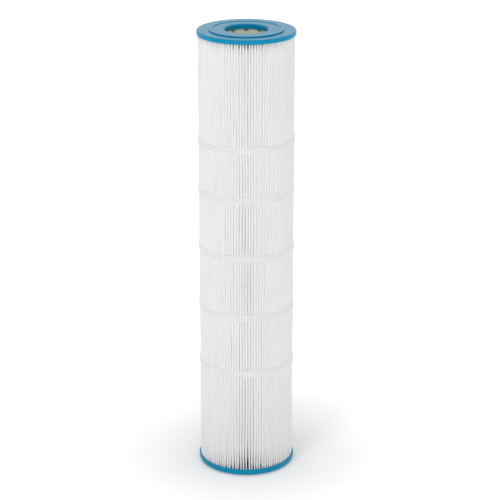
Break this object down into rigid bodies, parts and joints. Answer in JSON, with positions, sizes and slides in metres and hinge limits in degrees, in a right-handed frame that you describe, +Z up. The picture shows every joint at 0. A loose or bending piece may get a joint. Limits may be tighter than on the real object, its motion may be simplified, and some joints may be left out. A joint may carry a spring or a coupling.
{
  "type": "pool filter cartridge",
  "caption": "Tall pleated pool and spa filter cartridge: white pleated sheet round a perforated core, blue cast end caps with a central port, and retaining straps.",
  "frame": {"origin": "on the cartridge axis, at the face it stands on", "axes": "+Z up along the cartridge axis, +Y towards the side seam of the pleated sheet"},
  "size_m": [0.178, 0.178, 0.832],
  "materials": {
    "cap_urethane": "satin",
    "filter_sheet": "matte",
    "core_plastic": "matte",
    "strap_plastic": "satin",
    "seam_adhesive": "matte"
  },
  "bodies": {
    "root": {"top_end_cap": "cap_urethane", "bottom_end_cap": "cap_urethane", "core_tube": "core_plastic", "pleated_media": "filter_sheet", "side_seam_bond": "seam_adhesive", "retaining_band_1": "strap_plastic", "retaining_band_2": "strap_plastic", "retaining_band_3": "strap_plastic", "retaining_band_4": "strap_plastic", "retaining_band_5": "strap_plastic"}
  },
  "joints": []
}
